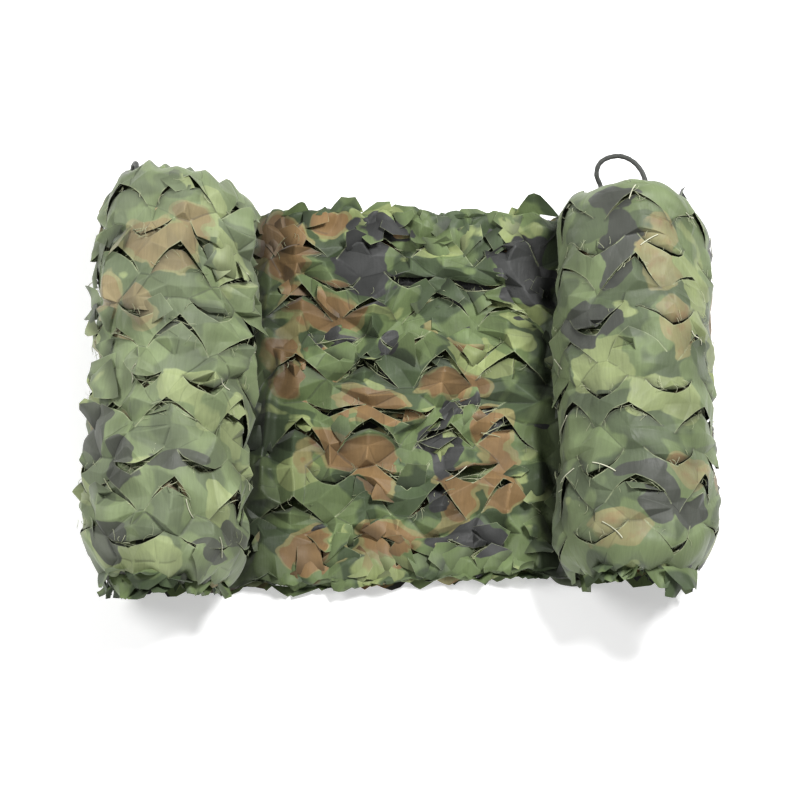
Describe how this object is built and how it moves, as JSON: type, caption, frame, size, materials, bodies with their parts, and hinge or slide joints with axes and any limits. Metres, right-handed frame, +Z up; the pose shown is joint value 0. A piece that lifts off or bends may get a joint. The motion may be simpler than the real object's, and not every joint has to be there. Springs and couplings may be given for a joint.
{
  "type": "camouflage net rolled from both ends",
  "caption": "Leaf-cut woodland camouflage net, folded lengthwise and rolled up from both ends like an open scroll, lying on its flat middle, with corner rope loops.",
  "frame": {"origin": "middle of the ground under the rolled net", "axes": "+Z up, X along the net's length from one roll to the other, Y along the rolls, the corner loops at +Y"},
  "size_m": [0.7008, 0.4909, 0.1659],
  "materials": {
    "camouflage_cloth": "thin polyester cloth printed in greens, brown and slate black, crisp, with a soft sheen",
    "braided_rope": "dark braided polyester cord"
  },
  "bodies": {
    "root": {"net_cloth": "camouflage_cloth", "rope_loop_right": "braided_rope", "rope_loop_left": "braided_rope"}
  },
  "joints": []
}
